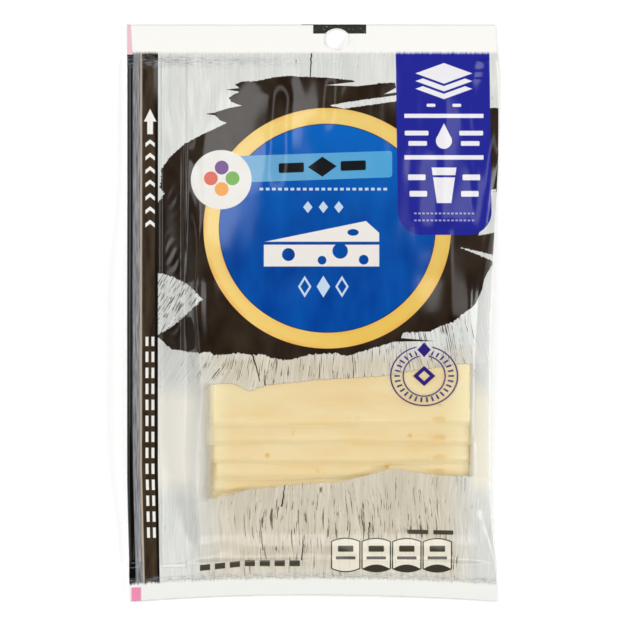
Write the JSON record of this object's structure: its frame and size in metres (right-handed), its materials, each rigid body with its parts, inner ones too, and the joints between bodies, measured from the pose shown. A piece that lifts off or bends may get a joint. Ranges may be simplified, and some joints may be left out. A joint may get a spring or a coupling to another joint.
{
  "type": "pack of sliced cheese",
  "caption": "Flat sealed pouch of shingled cheese slices, with a printed film, a clear window, a tear band and zipper down one side and a hang hole in the head seal.",
  "frame": {"origin": "on the surface that the pack lies on, under the middle of its bounding box", "axes": "+X to the right across the printed front, +Y to the head with the hang hole, +Z out of the printed front, away from the surface"},
  "size_m": [0.1442, 0.224, 0.0179],
  "materials": {
    "printed_film": "gloss laminated film with printed fields of colour on pale whitewashed wood grain",
    "clear_film": "clear gloss film, unprinted",
    "cheese": "smooth moist pale yellow cheese with a few small eyes",
    "zipper": "translucent extruded press-to-close profile"
  },
  "bodies": {
    "root": {"pouch": "printed_film"}
  },
  "joints": []
}
